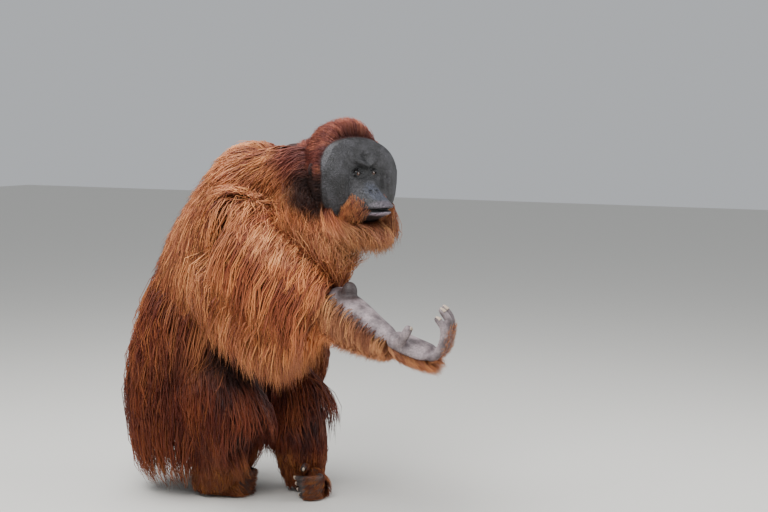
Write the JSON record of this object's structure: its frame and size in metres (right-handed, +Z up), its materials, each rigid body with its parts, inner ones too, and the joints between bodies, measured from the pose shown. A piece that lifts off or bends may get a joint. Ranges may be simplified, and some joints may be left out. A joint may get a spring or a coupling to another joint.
{
  "type": "orangutan",
  "caption": "Still, life-size adult male orangutan with cheek flanges and a long coat, hunched on bent legs, right arm held out palm up.",
  "frame": {"origin": "centre of the flat under the right foot, on the floor", "axes": "+X the way the body faces, +Y towards its left side, +Z up"},
  "size_m": [1.2753, 0.6959, 1.2346],
  "materials": {
    "coat": "long rust-coloured hair",
    "arm_coat": "long pale orange hair",
    "dark_coat": "long mahogany hair",
    "beard": "orange-tan beard hair",
    "face_skin": "dark grey pebbled skin",
    "hand_skin": "creased grey-mauve skin",
    "foot_skin": "creased grey-brown skin",
    "eye": "wet brown eye",
    "nail": "worn pale nail"
  },
  "bodies": {
    "root": {"head": "face_skin", "neck": "dark_coat", "torso": "coat", "eye_right": "eye", "eye_left": "eye", "ear_right": "face_skin", "ear_left": "face_skin", "upper_arm_right": "arm_coat", "upper_arm_left": "arm_coat", "forearm_right": "arm_coat", "forearm_left": "arm_coat", "hand_right": "hand_skin", "hand_left": "hand_skin", "thumb_right": "hand_skin", "thumb_left": "hand_skin", "index_right": "hand_skin", "index_left": "hand_skin", "middle_right": "hand_skin", "middle_left": "hand_skin", "ring_right": "hand_skin", "ring_left": "hand_skin", "little_right": "hand_skin", "little_left": "hand_skin", "thigh_right": "dark_coat", "thigh_left": "dark_coat", "shin_right": "dark_coat", "shin_left": "dark_coat", "foot_right": "foot_skin", "foot_left": "foot_skin", "hallux_right": "foot_skin", "hallux_left": "foot_skin", "toe_2_right": "foot_skin", "toe_2_left": "foot_skin", "toe_3_right": "foot_skin", "toe_3_left": "foot_skin", "toe_4_right": "foot_skin", "toe_4_left": "foot_skin", "toe_5_right": "foot_skin", "toe_5_left": "foot_skin"}
  },
  "joints": []
}
